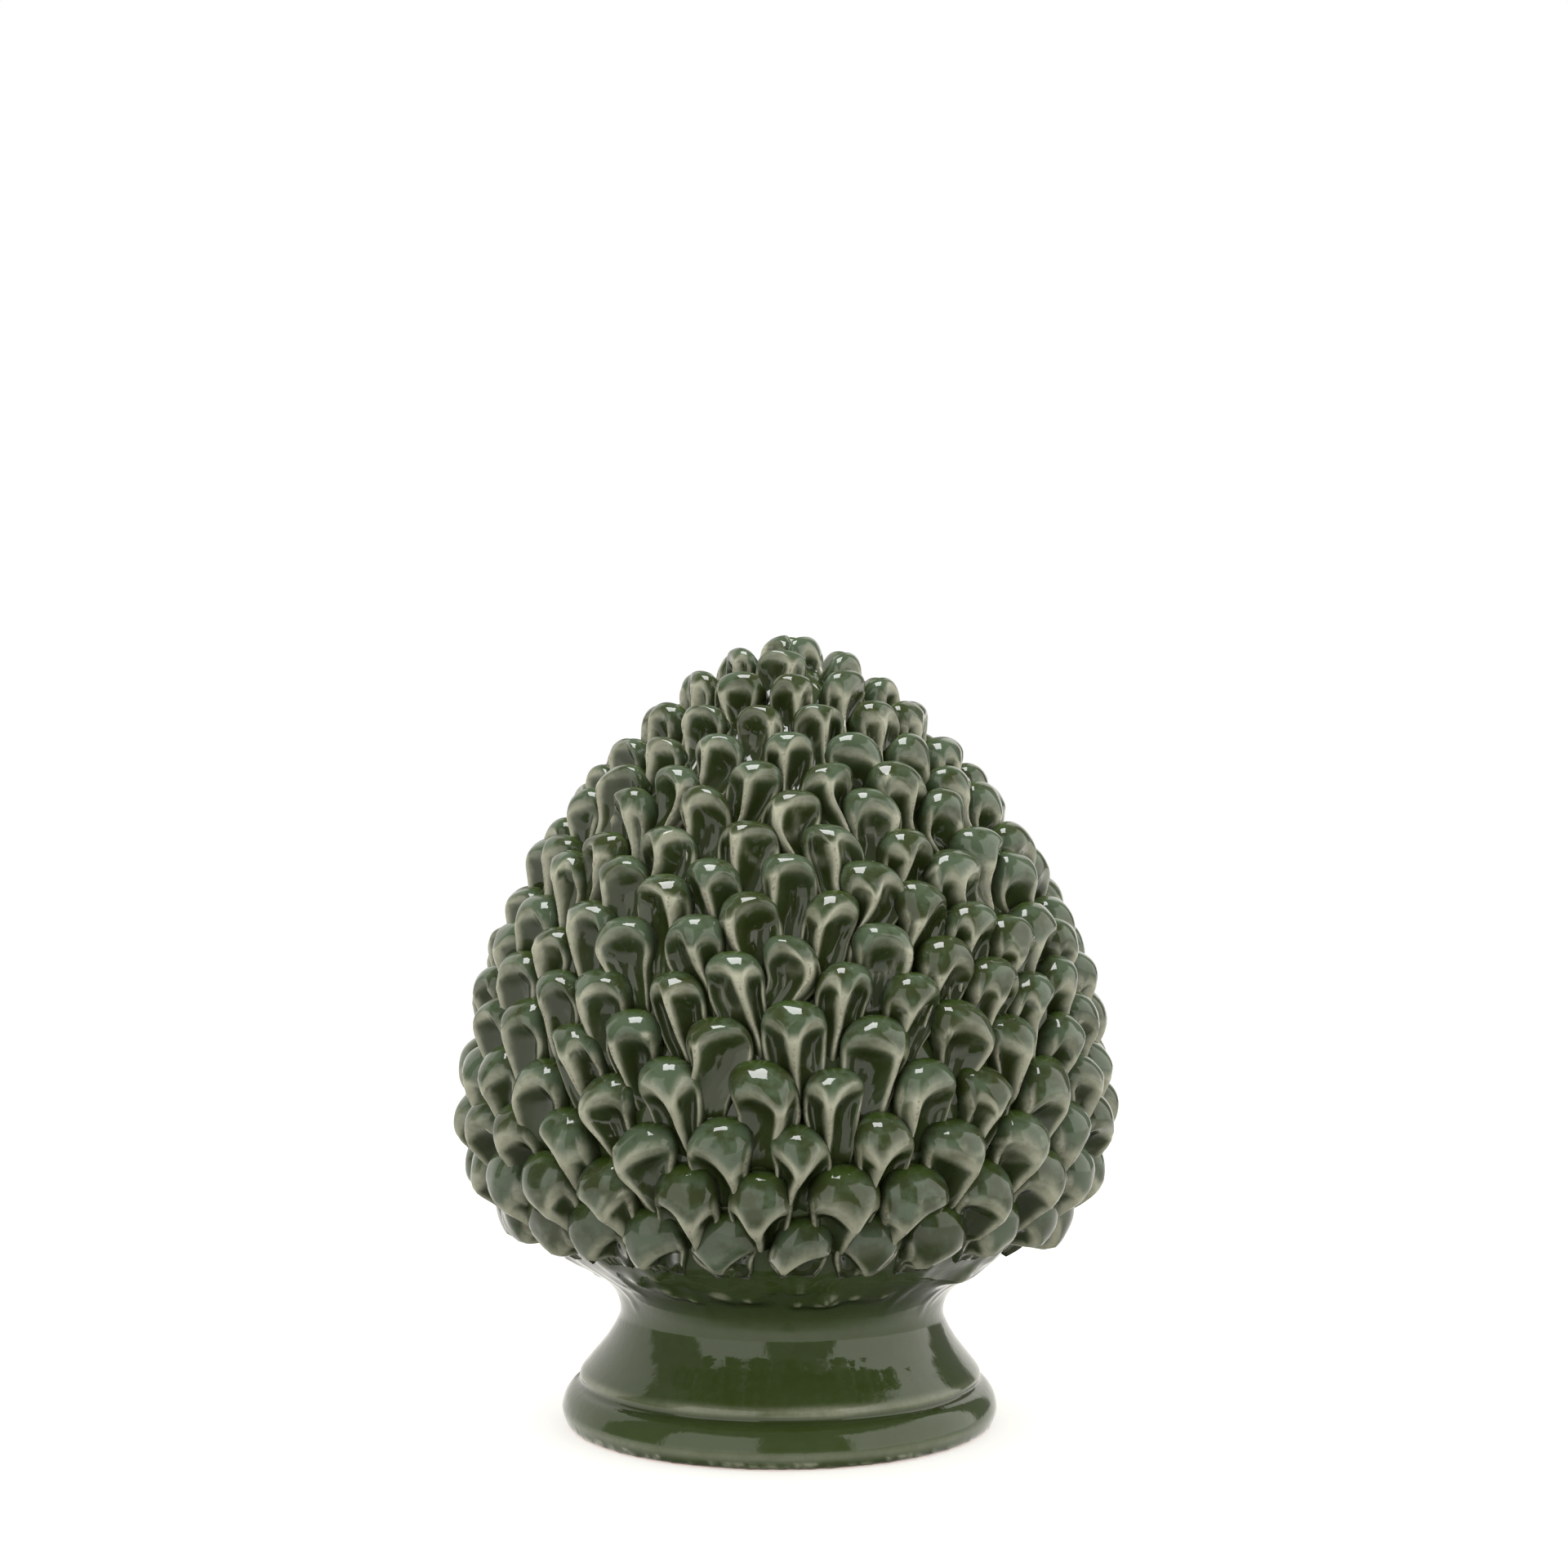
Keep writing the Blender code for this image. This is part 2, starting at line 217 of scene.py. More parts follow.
def turned(radius, angle, height):
    """The point at a radius, at an angle from the front towards +X, and at a height."""
    return np.stack([radius * np.sin(angle), -radius * np.cos(angle), height], axis=-1)


class Cone:
    """The cone's outside, and its map to a flat disc that keeps small shapes true."""

    def __init__(self):
        curve = smooth_curve(CONE_PROFILE, PROFILE_STEPS)
        curve[:, 0] = np.maximum(curve[:, 0], 0.0)
        self.curve = curve
        self.along = distances(curve)
        self.radius, self.height = curve.T
        slope = np.gradient(curve, self.along, axis=0)
        slope /= np.linalg.norm(slope, axis=1)[:, None]
        slope[0] = (1.0, 0.0)
        self.rise = slope[:, 0]
        self.rows = (self.radius, self.height, -slope[:, 1], self.rise)
        fine = np.maximum(self.radius, APEX_GAP)
        spread = np.diff(self.along) * (1 / fine[1:] + 1 / fine[:-1]) / 2
        self.spread = np.concatenate([[0.0], np.cumsum(spread)]) - spread.sum()

    def read(self, along):
        """Radius and height, and how far the normal points out and up, this far from the apex."""
        return [np.interp(along, self.along, row) for row in self.rows]

    def along_at(self, height, lift):
        """How far from the apex a head lies whose middle shows at this height."""
        return float(np.interp(-height, -(self.height + lift * self.rise), self.along))

    def place(self, along, angle, across, up):
        """Points across and up from a place on the cone, as (along, angle). They may pass the apex."""
        below = along - up
        reach = np.exp(np.interp(np.abs(below), self.along, self.spread))
        shrink = reach / np.maximum(np.interp(np.abs(below), self.along, self.radius), APEX_GAP)
        reach = np.copysign(reach, below)
        x = reach * np.sin(angle) + across * shrink * np.cos(angle)
        y = across * shrink * np.sin(angle) - reach * np.cos(angle)
        spread = np.log(np.maximum(np.hypot(x, y), 1e-9))
        return np.interp(spread, self.spread, self.along), np.arctan2(x, -y)

    def frame(self, along, angle):
        """The point on the cone at (along, angle), and the cone's normal there."""
        radius, height, out, rise = self.read(along)
        return turned(radius, angle, height), turned(out, angle, rise)


def settle(cone, along, angle, lift, width):
    """Moves heads that crowd each other apart, as a hand sets each beside those before it."""
    for _ in range(SETTLING_ROUNDS):
        radius, height, out, rise = cone.read(along)
        radius, height = radius + lift * out, height + lift * rise
        heads = turned(radius, angle, height)
        apart = heads[:, None] - heads[None]
        distance = np.linalg.norm(apart, axis=2) + np.eye(len(heads))
        short = np.maximum(HEAD_SPACING * (width[:, None] + width[None]) - distance, 0.0)
        np.fill_diagonal(short, 0.0)
        push = SETTLING_STEP * (apart * (short / distance)[:, :, None]).sum(axis=1)
        round_it = np.stack([np.cos(angle), np.sin(angle), np.zeros(len(angle))], axis=1)
        down = turned(rise, angle, -out)
        angle = angle + (push * round_it).sum(axis=1) / np.maximum(radius, lift)
        along = along + (push * down).sum(axis=1) * (height > SCALE_RINGS[0][0] + HEIGHT_WANDER)
    return along, angle


def lay_scales(cone):
    """Each scale's place, from the lowest ring up, as arrays by name."""
    hand = random.Random(HAND_SEED)
    rows = []
    lowest, highest = SCALE_RINGS[0][0], SCALE_RINGS[-1][0]
    for ring, (height, count, phase) in enumerate(SCALE_RINGS):
        share = ((height - lowest) / (highest - lowest)) ** 3
        lift = SCALE_LIFT + share * (CROWN_LIFT - SCALE_LIFT)
        width = float(np.interp(height, *zip(*HEAD_WIDTHS)))
        for number in range(count):
            turn = (number + hand.uniform(-1, 1) * ANGLE_WANDER) * TURN / count
            along = cone.along_at(height + hand.uniform(-1, 1) * HEIGHT_WANDER, lift)
            rise = lift * (1 + hand.uniform(-1, 1) * LIFT_WANDER)
            keel = hand.uniform(-1, 1) * KEEL_WANDER
            rows.append((ring, height, along, math.radians(phase) + turn, width, rise, keel))
    names = ("ring", "height", "along", "angle", "width", "lift", "keel")
    scales = dict(zip(names, np.array(rows).T))
    crowded = (scales[name] for name in ("along", "angle", "lift", "width"))
    scales["along"], scales["angle"] = settle(cone, *crowded)
    return scales


def find_gaps(cone, scales):
    """How far sideways each stem runs to pass between the heads below it, in half widths."""
    heads, _ = cone.frame(scales["along"], scales["angle"])
    down = STEM_LOOK * scales["width"]
    found = np.zeros(len(down))
    room = np.zeros(len(down))
    for shift in GAP_SHIFTS:
        along, angle = cone.place(scales["along"], scales["angle"], shift * scales["width"], -down)
        spots, _ = cone.frame(along, angle)
        away = np.linalg.norm(spots[:, None] - heads[None], axis=2) / scales["width"][None]
        away[scales["ring"][None] >= scales["ring"][:, None]] = AMPLE_ROOM
        least = away.min(axis=1) - 0.25 * abs(shift)
        found = np.where(least > room, shift, found)
        room = np.maximum(least, room)
    return found


class ScaleForm:
    """The shape of many scales at once, over [scale, row, column].

    A scale is a pinched tongue: a domed head, and below it a stem with a keel between two thumbed
    hollows. a runs across it, b up it from the head's middle, and h stands off the cone. x is a over
    the half width there. Shares with no unit are of the half width or of the lift.
    """

    def __init__(self, scales, sizes, hand):
        count = len(scales["along"])
        self.count = count

        def each(low, high):
            return hand.uniform(low, high, (count, 1, 1))

        def named(name):
            return scales[name][:, None, None]

        low = 1.0 - smoothstep(0.105, 0.175, named("height"))
        full = named("width") * np.interp(named("height"), *zip(*HEAD_SWELL))
        self.width = full * each(0.90, 1.10)
        self.top = full * HEAD_SLENDER * each(0.86, 1.08)
        self.lowest = 1.0 * (named("ring") == 0)
        highest = named("ring") == len(SCALE_RINGS) - 1
        self.lift = named("lift") * np.where(highest, CROWN_SINK, 1.0) * (1 - 0.22 * self.lowest)
        self.stem = self.width * each(2.55, 2.85) * (1 - 0.35 * self.lowest)
        self.neck = each(0.40, 0.66) * (1 - 0.55 * self.lowest)
        self.keel = named("keel") * 1.75
        self.keel_width = each(0.05, 0.20)
        self.sway = named("sway") * self.width
        self.twist = np.radians(each(-17.0, 17.0))
        self.tilt = np.clip(UPRIGHT * (named("facing") - FACING_LEVEL), -0.10, MOST_TILT)
        self.tilt = self.tilt + np.radians(each(-6.0, 6.0))
        self.square = each(1.9, 2.6)
        deep = DEEPER * smoothstep(0.0, 0.8, np.sin(named("angle"))) * (1 - low)
        self.tip = -blend(each(0.10, 0.60) + deep, each(0.80, 1.10), low)
        arch = [each(0.0, 1.0) < 0.60 * (1 - low) for _ in range(2)]
        raised = 0.45 * (1 - low) - deep
        self.rim_end = [
            raised - np.where(arched, each(0.40, 0.75), each(0.02, 0.35)) for arched in arch
        ]
        self.bump = [np.where(arched, each(0.22, 0.46), each(0.00, 0.16)) for arched in arch]
        self.thumb = each(3.6, 6.0) * MM
        self.brow = each(0.22, 0.34)
        self.base = -blend(each(0.05, 0.25), each(0.30, 0.55), low) * self.width
        self.dent = each(-0.7, 1.0).clip(0.0) * sizes.thumb_dent
        self.dent_at = (each(-0.40, 0.40), each(-0.45, 0.20))
        self.waves = [(each(-1, 1), each(-1, 1), each(0, TURN), each(0.5, 1.0)) for _ in range(5)]
        self.nub = (each(0, 1) < 0.14) * each(0.7, 1.2) * sizes.nub_height
        self.nub_at = (np.sign(each(-1, 1)) * each(0.72, 0.95), each(-0.45, 0.10))
        self.edge_wave = each(0, TURN)
        each(0, TURN)      # a spare draw, which leaves the later ones where they are
        self.streak = (each(-0.6, 0.6), each(0, TURN))
        self.lip = [blend(each(0.40, 1.10), each(0.90, 1.15), low) for _ in range(2)]
        self.lip_width = each(1.4, 3.6) * MM * (1 + 0.8 * low)
        self.sizes = sizes

    @staticmethod
    def beside(x, keel, half, side):
        """How far a side's hollow reaches, and the share of that from the keel's flank to x."""
        reach = np.maximum(RIM - side * keel - half, 0.05)
        return reach, np.clip((side * (x - keel) - half) / reach, 0.0, 1.0)

    def border(self, x):
        """Where the hollows' upper edge lies at x, as b over the half width."""
        line = np.zeros_like(x + self.width)
        half = 0.03 + 0.6 * self.keel_width
        for side, rim_end, bump in zip((-1, 1), self.rim_end, self.bump):
            reach, share = self.beside(x, self.keel, half, side)
            room = smoothstep(0.10, 0.50, reach)
            found = blend(self.tip, rim_end, room * share**0.8) + bump * room * 4 * share * (1 - share)
            line = np.where(side * (x - self.keel) >= 0, found, line)
        return np.minimum(line, 0.50)

    def rows(self, line):
        """b of each vertex from the stem's end to the head's top, and how far each is round the top."""
        share = np.linspace(0.0, 1.0, STEM_ROWS, endpoint=False)[None, :, None]
        border = line * self.width
        stem = -self.stem + (border + self.stem) * (1 - (1 - share) ** 1.7)
        turn = np.linspace(0.0, 0.5 * math.pi, HEAD_ROWS, endpoint=False)[None, :, None]
        turn = turn + 0.02 * (turn / (0.5 * math.pi)) ** 3
        head = border + (self.top - border) * np.sin(turn)
        round_top = np.concatenate([np.zeros((1, STEM_ROWS, 1)), turn], axis=1)
        return np.concatenate([stem, head], axis=1), round_top

    def half_width(self, b):
        """Half the scale's width at b."""
        head = np.clip(b / self.top, 0.0, 1.0)
        cap = (1.0 - head**2.3) ** (1 / 2.3)
        fall = np.maximum(-b, 0.0) / (1.4 * self.width)
        taper = self.neck + (1.0 - self.neck) / (1.0 + fall**2.6)
        wave = 1 + 0.035 * np.sin(b / EDGE_WAVE * 0.55 + self.edge_wave)
        return self.width * cap * taper * wave

    def face(self, x, b, line):
        """Height of the front face at x, from -1 to 1 over the width, and its masks."""
        lift, width = self.lift, self.width
        down = -b / width
        # The head: a dome that rises from its edge to the chin's height, with a thumb's dent in some.
        over = np.clip((b - self.base) / (self.top - self.base), 0.0, 1.0)
        edge = lift * blend(0.33, self.brow, over**2)
        edge = edge * (0.28 + 0.72 * (1 - smoothstep(0.2, 2.3, down)))
        below = np.maximum(self.base - b, 0.0)
        chin = lift * (1.02 - 0.22 * smoothstep(0.0, 1.3, below / width))
        crown = edge + (chin - edge) * (1 - over**2) ** (0.5 * self.sizes.egg)
        dome = edge + (crown - edge) * (1 - np.abs(x) ** self.square).clip(0) ** 0.5
        from_dent = np.hypot((x - self.dent_at[0]) * width, b - self.dent_at[1] * width)
        dent = bell(from_dent, 4.2 * MM)
        dome = dome - self.dent * dent
        dented = self.dent / self.sizes.thumb_dent

        # The stem: a keel that falls away below the head, and a hollow thumbed in at each side of it.
        drift = np.maximum(down + self.tip, 0.0)
        keel = self.keel * (1 + 0.25 * np.minimum(drift, 1.5))
        keel_half = 0.03 + self.keel_width * np.exp(-np.maximum(down + self.tip + 0.25, 0.0) / 0.5)
        fall = self.sizes.keel_fall * (1 - 0.6 * self.lowest)
        keel_height = lift * (0.13 + 0.87 * np.exp(-((below / fall) ** 1.8)))
        rim_height = lift * (0.10 + 0.30 * np.exp(-(np.maximum(down - 0.3, 0) * width / fall) ** 1.2))
        stand = 1 - self.lowest * smoothstep(0.0, 0.6, down + self.tip)
        keel_height, rim_height = keel_height * stand, rim_height * stand
        roof, hollow = np.zeros_like(b), np.zeros_like(b)
        for side in (-1, 1):
            here = side * (x - keel) >= 0
            reach, share = self.beside(x, keel, keel_half, side)
            cut = np.cos(0.5 * math.pi * np.abs(2 * share - 1) ** 1.15) ** 1.25
            flank = blend(keel_height, rim_height, share**0.85)
            outside = np.clip((np.abs(x) - RIM) / (1 - RIM), 0, 1)
            roof = np.where(here, blend(flank, edge * 0.8, outside**2), roof)
            hollow = np.where(here, cut * smoothstep(0.10, 0.50, reach), hollow)
        past = b - line * width
        pressed = 0.55 + 0.45 * bell(past + 5.5 * MM, 7.0 * MM)
        streak = np.sin(TURN * (x * width + self.streak[0] * b) / STREAK + self.streak[1])
        floor = np.maximum(roof - self.thumb * pressed + self.sizes.streak_height * streak, 0.05 * lift)
        stem = blend(blend(roof, floor, hollow), -ROOT_DEPTH, smoothstep(1.8, 2.6, down))
        soft = self.sizes.ridge_softness
        head = smoothstep(-0.75 * soft, 0.45 * soft, past)
        h = blend(stem, dome, head)

        nub = bell((x - self.nub_at[0]) * width, 1.5 * MM)
        nub = nub * bell(b - self.nub_at[1] * width, 1.5 * MM)
        h = h + self.nub * nub

        # Where the glaze breaks thin: the head's lower lip, the keel, the edges, nubs and dents.
        lip = np.where(past > 0, bell(past, self.lip_width), bell(past, 1.0 * MM))
        lip = lip * (1 - np.abs(x) ** 8) * blend(*self.lip, smoothstep(-0.2, 0.2, x - self.keel))
        lip = lip * (0.62 + 0.38 * bell((x - self.keel) * width, 7.5 * MM))
        from_keel = np.maximum(np.abs(x - keel) - keel_half, 0.0) * width
        on_keel = bell(from_keel, 1.2 * MM) * (down > -self.tip - 0.1)
        edge_line = bell(np.abs(x) - 0.93, 0.07) * smoothstep(-0.3, 0.3, down)
        ridge = np.maximum(np.maximum(lip * smoothstep(-0.9, -0.2, down), on_keel), 0.85 * edge_line)
        ridge = np.maximum(ridge, (self.nub > 0) * nub) * (0.4 + 0.6 * stand)
        ridge = np.maximum(ridge, 0.45 * dented * bell(from_dent - 5.0 * MM, 1.8 * MM) * (down > 0))
        thin = bell((x - keel) * width, 1.0 * MM) * (down > -self.tip - 0.1)
        thin = np.maximum(thin, 0.95 * edge_line) * (0.3 + 0.7 * stand)
        # Glaze pooled in the hollows and dents; the lowest ring's heads also get painted shade all
        # over.
        deep = (1 - head) * np.minimum(1.3 * hollow, 1.0) * bell(np.minimum(past, 0.0), 18 * MM)
        deep = np.maximum(np.maximum(deep, 0.8 * dented * dent), 0.30 * self.lowest)
        # The head's upper edge: the glaze's own olive, with painted light from above on it.
        crest_and_top_light = smoothstep(0.68, 0.92, over) + 0 * h
        return h, {"ridge": ridge, "hollow": deep, "crest_and_top_light": crest_and_top_light, "line": thin, "cap": head + 0 * h}

    def hand_waves(self, a, b):
        """The unevenness that fingers leave."""
        total = 0.0
        for right, up, phase, size in self.waves:
            total = total + size * np.sin((right * a + up * b) / FINGER_WAVE + phase)
        return total * self.sizes.unevenness / len(self.waves)

    def grid(self):
        """(a, b, h) of every vertex but the two poles, and the masks."""
        u = np.linspace(-1.0, 1.0, FACE_COLUMNS)
        x = (0.5 * u + 0.5 * np.sin(0.5 * math.pi * u))[None, None, :]
        line = self.border(x)
        b, round_top = self.rows(line)
        h, masks = self.face(x, b, line)
        a = x * self.half_width(b)
        h = h + self.hand_waves(a, b) * (1 - np.abs(x) ** 4)

        pole = self.brow * self.lift
        back = pole - (pole + ROOT_DEPTH) * np.maximum(np.cos(round_top), 0.0) ** 0.8
        ends = [(b[:, :, k:k + 1], h[:, :, k:k + 1]) for k in (FACE_COLUMNS - 1, 0)]
        wides = [self.half_width(end) for end, _ in ends]
        sides = []
        for sign, (edge_b, edge_h), wide in zip((1, -1), ends, wides):
            stem = smoothstep(0.2, 1.1, -edge_b / self.width)
            sides.append([
                (sign * wide * blend(1 - inward, 1 + flare, stem), edge_b, blend(back, edge_h, share))
                for inward, flare, share in SIDE_STEPS
            ])
        under = [
            (wides[0] * share, blend(ends[0][0], ends[1][0], 0.5 - share), back)
            for share in (0.5, 0.0, -0.5)
        ]
        extra = sides[0] + under + sides[1][::-1]
        across, up, level = (
            np.concatenate([part] + [step[k] for step in extra], axis=2)
            for k, part in enumerate((a, b, h))
        )
        unseen = np.zeros(h.shape[:2] + (len(extra) - 2,))
        masks = {
            name: np.concatenate([mask, 0.6 * mask[:, :, -1:], unseen, 0.6 * mask[:, :, :1]], axis=2)
            for name, mask in masks.items()
        }
        return across, up, level, masks

    def raise_head(self, up, level):
        """Tips the scale towards upright where the cone leans away under it."""
        middle = 0.55 * self.lift
        turn = self.tilt * smoothstep(-2.4, -0.6, up / self.width)
        cos, sin = np.cos(turn), np.sin(turn)
        raised = middle + (level - middle) * cos + (up + 0.5 * self.width) * sin
        level = blend(level, raised, smoothstep(-1.0 * MM, 3.0 * MM, level) * (level > 0))
        return up * cos - (level - middle) * sin * 0.5, level

    def pose(self, across, up):
        """Turns the head a little and carries the stem sideways to its gap."""
        down = np.maximum(-up / self.width, 0.0)
        turned_across = across * np.cos(self.twist) - up * np.sin(self.twist) * (up > -2 * self.width)
        swing = self.sway * smoothstep(0.3, 2.2, down)
        head = 1 - smoothstep(0.4, 1.4, down)
        return blend(across, turned_across, head) + swing


def scale_points(cone, scales, form):
    """World places of the scales' grids, with the two poles of each appended, and the masks."""
    across, up, level, masks = form.grid()
    ends_up = np.stack([up[:, 0, 0] - 0.4 * MM, form.top[:, 0, 0]], axis=1)[:, :, None]
    first = across[:, 0].mean(axis=1)
    ends_across = np.stack([first, 0 * first], axis=1)[:, :, None]
    pole = np.stack([0 * first, (form.brow * form.lift)[:, 0, 0]], axis=1)[:, :, None]
    flat = [
        np.concatenate([grid.reshape(form.count, -1, 1), ends], axis=1)
        for grid, ends in ((across, ends_across), (up, ends_up), (level, pole))
    ]
    up, lift = form.raise_head(flat[1], flat[2])
    across = form.pose(flat[0], up)
    up = up + form.sizes.upward_lean * (lift - 0.7 * form.lift)
    along0, angle0 = scales["along"][:, None, None], scales["angle"][:, None, None]
    along, angle = cone.place(along0, angle0, across, up)
    point, normal = cone.frame(along, angle)
    _, middle = cone.frame(along0, angle0)
    normal = normal + middle
    normal /= np.linalg.norm(normal, axis=-1, keepdims=True)
    world = (point + lift[..., None] * normal)[:, :, 0]
    world[..., 0] += foot_offset(world[..., 2])
    full = {
        name: np.concatenate([mask.reshape(form.count, -1), np.zeros((form.count, 2))], axis=1)
        for name, mask in masks.items()
    }
    full["crest_and_top_light"][:, -1] = 1.0
    return world, full


def tube_faces(rows, columns):
    """Quads of rows round a tube and the fans to its two poles, outward where rows run upwards."""
    row, column = np.mgrid[0:rows - 1, 0:columns]
    low, after = row * columns, (column + 1) % columns
    high = low + columns
    quads = np.stack([low + column, low + after, high + after, high + column], axis=-1)
    ring = np.arange(columns)
    beyond, last, pole = (ring + 1) % columns, (rows - 1) * columns, 0 * ring + rows * columns
    first = np.stack([pole, beyond, ring], axis=-1)
    return quads.reshape(-1, 4), np.concatenate([
        first, np.stack([last + ring, last + beyond, pole + 1], axis=-1),
    ])


def tube_map(u, v):
    """UV corners in the order of tube_faces, from the columns' edges and the rows, poles included."""
    row, column = np.mgrid[1:len(v) - 2, 0:len(u) - 1]
    u0, u1, v0, v1 = u[column], u[column + 1], v[row], v[row + 1]
    quads = np.stack([u0, v0, u1, v0, u1, v1, u0, v1], axis=-1)
    low, high, middle, one = u[:-1], u[1:], (u[:-1] + u[1:]) / 2, np.ones(len(u) - 1)
    first = np.stack([middle, v[0] * one, high, v[1] * one, low, v[1] * one], axis=-1)
    last = np.stack([low, v[-2] * one, high, v[-2] * one, middle, v[-1] * one], axis=-1)
    return quads.reshape(-1, 4, 2), np.concatenate([first, last]).reshape(-1, 3, 2)


def scale_faces(count, rows, columns):
    """Corner indices of the quads and fans of many scales, and their corners on the map."""
    shift = (np.arange(count) * (rows * columns + 2))[:, None, None]
    quads, fans = ((part + shift).reshape(-1, part.shape[1]) for part in tube_faces(rows, columns))
    across = math.ceil(math.sqrt(count))
    size = np.array([across, math.ceil(count / across)])
    u = np.concatenate([
        np.linspace(0.0, MAP_FACE, FACE_COLUMNS),
        np.linspace(MAP_FACE, 1.0, columns - FACE_COLUMNS + 2)[1:],
    ])
    v = np.concatenate([[0.0], np.linspace(MAP_FAN, 1.0 - MAP_FAN, rows), [1.0]])
    cell = np.stack([np.arange(count) % across, np.arange(count) // across], axis=-1)[:, None, None]
    corners = [
        ((cell + MAP_MARGIN + (1 - 2 * MAP_MARGIN) * part) / size).reshape(-1, 2)
        for part in tube_map(u, v)
    ]
    return quads, fans, np.concatenate(corners)


def smooth_mesh(name, points, faces, values):
    """A smooth mesh from arrays, with its map for baking and its named vertex values."""
    quads, triangles, corners = faces
    mesh = bpy.data.meshes.new(name)
    points = points.reshape(-1, 3)
    mesh.vertices.add(len(points))
    mesh.vertices.foreach_set("co", np.ascontiguousarray(points, np.float32).ravel())
    loops = np.concatenate([quads.ravel(), triangles.ravel()]).astype(np.int32)
    starts = np.concatenate([
        np.arange(len(quads)) * 4, 4 * len(quads) + np.arange(len(triangles)) * 3,
    ]).astype(np.int32)
    mesh.loops.add(len(loops))
    mesh.loops.foreach_set("vertex_index", loops)
    mesh.polygons.add(len(starts))
    mesh.polygons.foreach_set("loop_start", starts)
    mesh.update(calc_edges=True)
    layer = mesh.uv_layers.new(name="OFBake")
    layer.uv.foreach_set("vector", np.ascontiguousarray(corners, np.float32).ravel())
    for key, value in values.items():
        attribute = mesh.attributes.new(key, "FLOAT", "POINT")
        attribute.data.foreach_set("value", np.ascontiguousarray(value, np.float32).ravel())
    mesh.shade_smooth()
    return mesh


def add_piece(name, points, faces, values, material):
    """Puts a piece in the scene in place of the solid, riding on its body."""
    mesh = smooth_mesh(name, points, faces, values)
    mesh.materials.append(material)
    piece = bpy.data.objects.new(name, mesh)
    bpy.context.scene.collection.objects.link(piece)
    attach(piece, BODY)
    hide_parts(NODE)


class Signal:
    """A number that varies over a surface. Python's operators on it add Math nodes."""

    def __init__(self, graph, socket):
        self.graph, self.socket = graph, socket

    def math(self, operation, *values, clamp=False):
        settings = {"operation": operation, "use_clamp": clamp}
        return self.graph.signal("ShaderNodeMath", settings, dict(enumerate(values)))

    def __add__(self, other):
        return self.math("ADD", self, other)

    def __radd__(self, other):
        return self.math("ADD", other, self)

    def __sub__(self, other):
        return self.math("SUBTRACT", self, other)

    def __rsub__(self, other):
        return self.math("SUBTRACT", other, self)

    def __mul__(self, other):
        return self.math("MULTIPLY", self, other)

    def __rmul__(self, other):
        return self.math("MULTIPLY", other, self)

    def clamp(self):
        return self.math("ADD", self, 0.0, clamp=True)

    def larger(self, other):
        return self.math("MAXIMUM", self, other)

    def smooth(self, low, high):
        """0 below low, 1 above high, and a smooth rise between."""
        return self.graph.signal(
            "ShaderNodeMapRange", {"interpolation_type": "SMOOTHSTEP"},
            {"Value": self, "From Min": low, "From Max": high},
        )


class Graph:
    """Adds nodes to a node tree."""

    def __init__(self, tree):
        self.tree = tree

    def node(self, kind, settings=None, inputs=None):
        """A node of a kind: its settings first, then the values or links of its sockets."""
        node = self.tree.nodes.new(kind)
        for key, value in (settings or {}).items():
            setattr(node, key, value)
        for key, value in (inputs or {}).items():
            socket = self.find(node.inputs, key)
            if isinstance(value, Signal):
                value = value.socket
            if isinstance(value, bpy.types.NodeSocket):
                self.tree.links.new(value, socket)
            else:
                socket.default_value = value
        return node

    @staticmethod
    def find(sockets, key):
        """A socket by its place, its identifier or its name."""
        if isinstance(key, int):
            return sockets[key]
        for socket in sockets:
            if socket.identifier == key:
                return socket
        return sockets[key]

    def signal(self, kind, settings=None, inputs=None, output=0):
        return Signal(self, self.find(self.node(kind, settings, inputs).outputs, output))

    def mask(self, name):
        """A value stored on the mesh."""
        return self.signal("ShaderNodeAttribute", {"attribute_name": name}, output="Fac")

    def colour_mix(self, factor, start, end):
        node = self.node(
            "ShaderNodeMix", {"data_type": "RGBA"},
            {"Factor_Float": factor, "A_Color": start, "B_Color": end},
        )
        return self.find(node.outputs, "Result_Color")

    def noise(self, place, size, detail=2.0, roughness=0.5):
        """Noise with features of about a size in metres, from 0 to 1."""
        return self.signal(
            "ShaderNodeTexNoise", None,
            {"Vector": place, "Scale": 1.0 / size, "Detail": detail, "Roughness": roughness},
        )


def new_material(name):
    """A material with a Principled shader: its graph and that shader's node."""
    material = bpy.data.materials.new(name)
    material.use_nodes = True
    material.node_tree.nodes.clear()
    graph = Graph(material.node_tree)
    shader = graph.node("ShaderNodeBsdfPrincipled")
    graph.node("ShaderNodeOutputMaterial", None, {"Surface": shader.outputs[0]})
    return material, graph, shader


